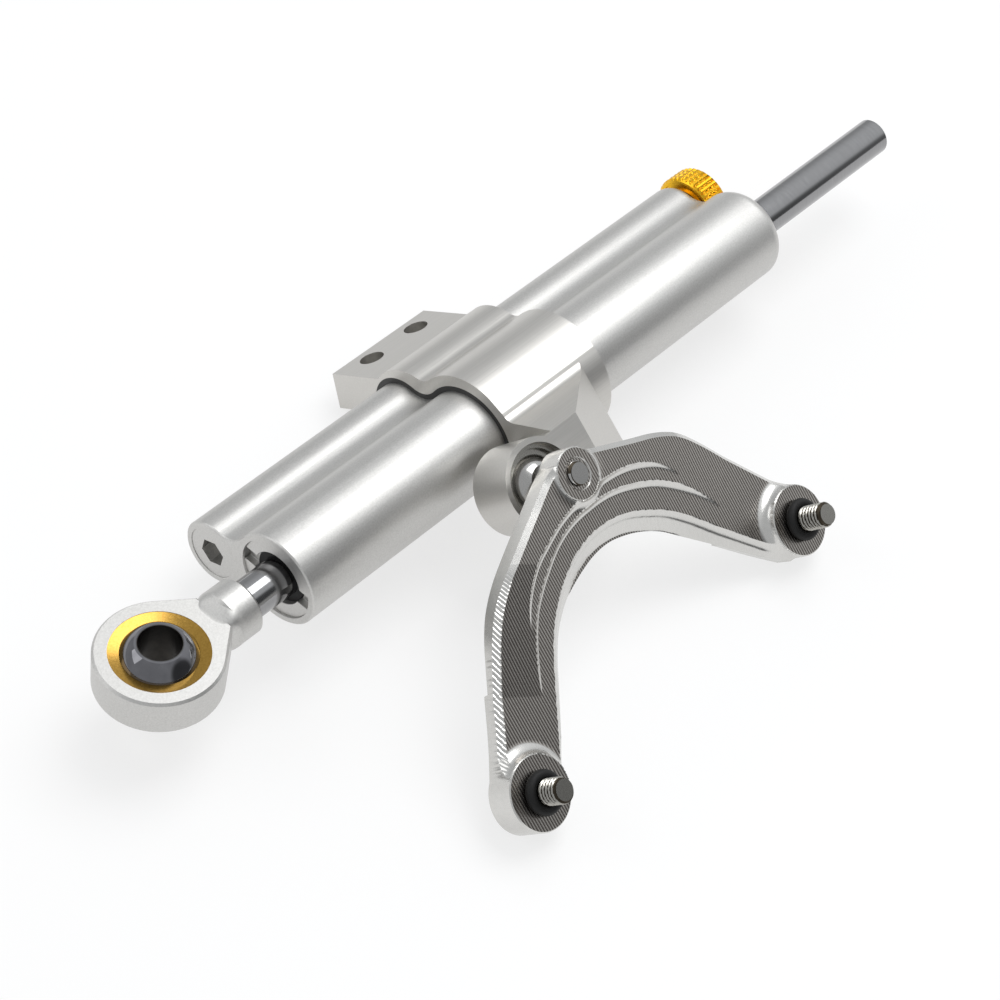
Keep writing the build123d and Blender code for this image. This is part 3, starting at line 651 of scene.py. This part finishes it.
apex_bore = 2.95
tip_bore = 2.62
fork_piece = fork_loft()
boss("fork_apex_boss", (0, 0), apex_radius, arm_back, apex_bore)
boss("fork_left_boss", left_tip, tip_radius, tip_back, tip_bore)
boss("fork_right_boss", right_tip, tip_radius, tip_back, tip_bore)
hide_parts("fork")


# Threads of M5 on the tip screws and on the ball stud

thread_pitch = 0.8
thread_depth = 0.46
thread_radius = 2.5
thread_rows = 60


def threaded(start, end, edge):
    """Relief of a screw thread between start and end.

    The radius falls by the thread's depth times a triangle wave of height / pitch - turn / (2 pi).
    The wave is stretched and clipped, so crests and roots are flat.
    """
    stretch, shift = 1.25, 0.1

    def relief(turn, height, radius):
        wave = np.abs(((height / thread_pitch - turn / (2 * np.pi)) % 1) * 2 - 1)
        groove = np.clip(wave * stretch - shift, 0, 1) * thread_depth
        on_thread = (height > start) & (height < end) & (radius > thread_radius - edge)
        return np.where(on_thread, radius - groove, radius)

    return relief


def darken_roots(piece, place, start):
    """Gives the thread's faces deeper than half its depth the painted shade of the roots."""
    shallow = thread_radius - 0.5 * thread_depth
    deepest = thread_radius - 1.2 * thread_depth
    mesh = piece.data
    mesh.materials.append(painted_root_shade)
    middles = np.empty(len(mesh.polygons) * 3)
    mesh.polygons.foreach_get("center", middles)
    middles = middles.reshape(-1, 3) / mm - on_fork(place, 0)
    height = middles @ fork_up
    radius = np.linalg.norm(middles - height[:, None] * fork_up, axis=1)
    deep = (height > start) & (radius < shallow) & (radius > deepest)
    mesh.polygons.foreach_set("material_index", deep.astype(np.int32))


def screw_end(name, place, proud):
    """Screw through a fork's tip: neck, thread with a turned end, flat head sunk in the back."""
    head, head_height, bevel = 4.25, 2.8, 0.2
    seat, neck, neck_height, edge = 2.6, 2.2, 2.2, 0.5
    head_top = tip_back + head_height
    thread_start = boss_face + neck_height
    end = boss_face + proud
    rows = [
        (tip_back, 0.0), (tip_back, head - bevel), (tip_back + bevel, head),
        (head_top - bevel, head), (head_top, head - bevel), (head_top, seat),
        (boss_face, seat), (boss_face, neck), (thread_start - bevel, neck),
    ]
    thread_heights = np.linspace(thread_start, end - edge, thread_rows)
    rows += [(height, thread_radius) for height in thread_heights]
    rows += [
        (end - edge * 0.5, thread_radius - edge * 0.55), (end, thread_radius - edge), (end, 0.0),
    ]
    screw = turned(
        name, rows, on_fork(place, 0), fork_up, stainless, "fork_arms",
        relief=threaded(thread_start, end - edge * 0.4, edge),
    )
    darken_roots(screw, place, thread_start)
    return screw


def ball_stud():
    """Ball, waisted neck, collar under the fork's apex, and a thread whose end shows in its hole."""
    ball, neck, collar, collar_top, root, proud, edge = 6.35, 3.4, 4.7, 9.34, 2.3, 0.5, 0.45
    thread_start = 10.4
    end = boss_face + proud
    ball_angles = np.linspace(-1.5, np.arccos(neck / ball), 40)
    rows = [(-ball, 0.0)]
    rows += [(ball * np.sin(angle), ball * np.cos(angle)) for angle in ball_angles]
    rows += [
        (6.1, neck), (7.2, 3.55), (8.4, 4.1), (9.1, collar - 0.1), (collar_top, collar - 0.25),
        (collar_top, root), (thread_start - 0.2, root),
    ]
    thread_heights = np.linspace(thread_start, end - edge, thread_rows)
    rows += [(height, thread_radius) for height in thread_heights]
    rows += [
        (end - edge * 0.5, thread_radius - edge * 0.5), (end, thread_radius - edge), (end, 0.0),
    ]
    piece = turned(
        "ball_stud_turned", rows, on_fork((0, 0), 0), fork_up, ground_steel, "stud",
        relief=threaded(thread_start, end - edge * 0.4, edge),
    )
    darken_roots(piece, (0, 0), thread_start)
    return piece


left_proud = 6.5
right_proud = 7.7
stud = ball_stud()
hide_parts("ball_stud")
left_screw = screw_end("left_tip_screw", left_tip, left_proud)
screw_end("right_tip_screw", right_tip, right_proud)
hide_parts("tip_screws")


# Forged blend between the rod end's flat head and its round barrel, over the drawn-in neck

def neck_blend():
    """Sections along the rod: a low box inside the head swells into the barrel's circle.

    Half height and half width rise by the smooth step 3t^2 - 2t^3, and the power of the section's
    superellipse falls from a near box to a circle.
    """
    head_half, neck, barrel = 3.97, 4.1, 5.75
    start, end, swell_start, swell_run = 10.6, 19.6, 11.4, 5.2
    box_power, circle_power = 5, 2
    x = np.linspace(start, end, 40)
    rise = np.clip((x - swell_start) / swell_run, 0, 1)
    rise = 3 * rise**2 - 2 * rise**3
    half_height = head_half + (barrel - head_half) * rise
    half_width = neck + (barrel - neck) * rise
    power = box_power - (box_power - circle_power) * rise
    around = np.linspace(0, 2 * np.pi, 72, endpoint=False)
    c, s = np.cos(around), np.sin(around)
    y = half_width[:, None] * np.sign(c) * np.abs(c) ** (2 / power[:, None])
    z = half_height[:, None] * np.sign(s) * np.abs(s) ** (2 / power[:, None])
    points = np.stack([np.repeat(x[:, None], len(around), axis=1), y, z], axis=-1).reshape(-1, 3)
    faces = closed_tube(len(x), len(around))
    new_piece("rod_end_neck_blend", points * mm, faces, blasted, "rod")


neck_blend()


# Knurled band of the knob, over the ribbed solid

knob_start = np.array([170.6, 15.968, -6.034])
knurl_crest = 7.6
knurl_rim = 7.3
knurl_inside = 7.0
knurl_start = 0.5
knurl_end = 4.5
knurl_bevel = 0.15


def knurled(turn, height, radius):
    """Diamond knurl: the deeper of two sets of V grooves that climb in opposite directions."""
    count, climb, depth = 36, 1.35, 0.34
    first = np.abs(((count * turn / (2 * np.pi) + height / climb) % 1) * 2 - 1)
    second = np.abs(((count * turn / (2 * np.pi) - height / climb) % 1) * 2 - 1)
    groove = depth * (1 - np.minimum(first, second))
    return np.where(radius > knurl_rim, radius - groove, radius)


band_heights = np.linspace(knurl_start + knurl_bevel, knurl_end - knurl_bevel, 48)
band_rows = [(knurl_start, knurl_inside), (knurl_start, knurl_rim)]
band_rows += [(height, knurl_crest) for height in band_heights]
band_rows += [(knurl_end, knurl_rim), (knurl_end, knurl_inside)]
turned(
    "knob_knurl", band_rows, knob_start, (1, 0, 0), gold, "knob",
    around=720, relief=knurled,
)


# Floor: a white board far wider than the picture. The camera and the metal see it as white, and
# the object's shadow stays pale

floor_height = -17.42 * mm
floor_reach = 3.0
floor_glow = 0.7

floor_mesh = bpy.data.meshes.new("floor")
floor_mesh.from_pydata(
    [
        (-floor_reach, -floor_reach, floor_height),
        (floor_reach, -floor_reach, floor_height),
        (floor_reach, floor_reach, floor_height),
        (-floor_reach, floor_reach, floor_height),
    ],
    [],
    [(0, 1, 2, 3)],
)
floor = bpy.data.objects.new("floor", floor_mesh)
scene.collection.objects.link(floor)
floor_material, tree = new_material("white_board")
board = add(
    tree,
    "ShaderNodeBsdfPrincipled",
    {"Base Color": linear("#f7f7f7"), "Roughness": 0.4, "Specular IOR Level": 0.3},
)
ray = add(tree, "ShaderNodeLightPath")
seen = add(
    tree,
    "ShaderNodeMath",
    {0: ray.outputs["Is Camera Ray"], 1: ray.outputs["Is Glossy Ray"]},
    operation="MAXIMUM",
)
share = add(tree, "ShaderNodeMath", {0: seen.outputs[0], 1: floor_glow}, operation="MULTIPLY")
white = add(tree, "ShaderNodeEmission", {"Color": linear("#ffffff"), "Strength": 1.0})
pale = add(
    tree,
    "ShaderNodeMixShader",
    {0: share.outputs[0], 1: board.outputs["BSDF"], 2: white.outputs["Emission"]},
)
close_material(tree, pale.outputs["Shader"])
floor_mesh.materials.append(floor_material)


# World: a soft room, brightest overhead, dimmer at the walls, darkest where the fork's face looks

world = bpy.data.worlds.new("studio")
scene.world = world
world.use_nodes = True
sky = world.node_tree
sky.nodes.clear()
direction = add(sky, "ShaderNodeTexCoord").outputs["Generated"]


def towards(way, start, end, low, high):
    """Strength from low to high as the cosine of a direction with a way goes from start to end."""
    cosine = add(sky, "ShaderNodeVectorMath", {0: direction, 1: way}, operation="DOT_PRODUCT")
    ranged = add(
        sky,
        "ShaderNodeMapRange",
        {
            "Value": cosine.outputs["Value"],
            "From Min": start,
            "From Max": end,
            "To Min": low,
            "To Max": high,
        },
        interpolation_type="SMOOTHSTEP",
    )
    return ranged.outputs["Result"]


overhead = towards((0.65, -0.05, 0.758), start=0.55, end=0.98, low=0.62, high=1.0)
dark_wall = towards((0.3, -0.93, 0.2), start=0.81, end=0.925, low=1.0, high=0.2)
strength = add(sky, "ShaderNodeMath", {0: overhead, 1: dark_wall}, operation="MULTIPLY")
room = add(
    sky,
    "ShaderNodeBackground",
    {"Color": linear("#f4f6f8"), "Strength": strength.outputs[0]},
)
add(sky, "ShaderNodeOutputWorld", {"Surface": room.outputs["Background"]})


def soft_light(name, place, power):
    """A square area light at a place, turned to the middle of the object."""
    aim, size = (0.08, 0, 0), 0.6
    lamp = bpy.data.lights.new(name, "AREA")
    lamp.shape = "SQUARE"
    lamp.size = size
    lamp.energy = power
    holder = bpy.data.objects.new(name, lamp)
    scene.collection.objects.link(holder)
    holder.location = place
    holder.rotation_mode = "QUATERNION"
    holder.rotation_quaternion = (Vector(aim) - Vector(place)).to_track_quat("-Z", "Y")


soft_light("overhead", (0.45, 0.0, 0.85), power=3.9)
soft_light("left_fill", (-0.5, 0.6, 0.6), power=1.5)


# Camera: solved from the photo

camera_place = Vector((-0.2364, -0.22863, 0.40882))
forward = Vector((0.55892, 0.38381, -0.73505))
up = Vector((0.50502, 0.54552, 0.66885))
camera = bpy.data.cameras.new("photo_camera")
camera.sensor_width = 36
camera.lens = 105.97
camera.clip_start = 0.05
camera_holder = bpy.data.objects.new("photo_camera", camera)
scene.collection.objects.link(camera_holder)
camera_turn = Matrix((forward.cross(up), up, -forward)).transposed()
camera_holder.matrix_world = Matrix.Translation(camera_place) @ camera_turn.to_4x4()
scene.camera = camera_holder
scene.view_settings.view_transform = "Standard"
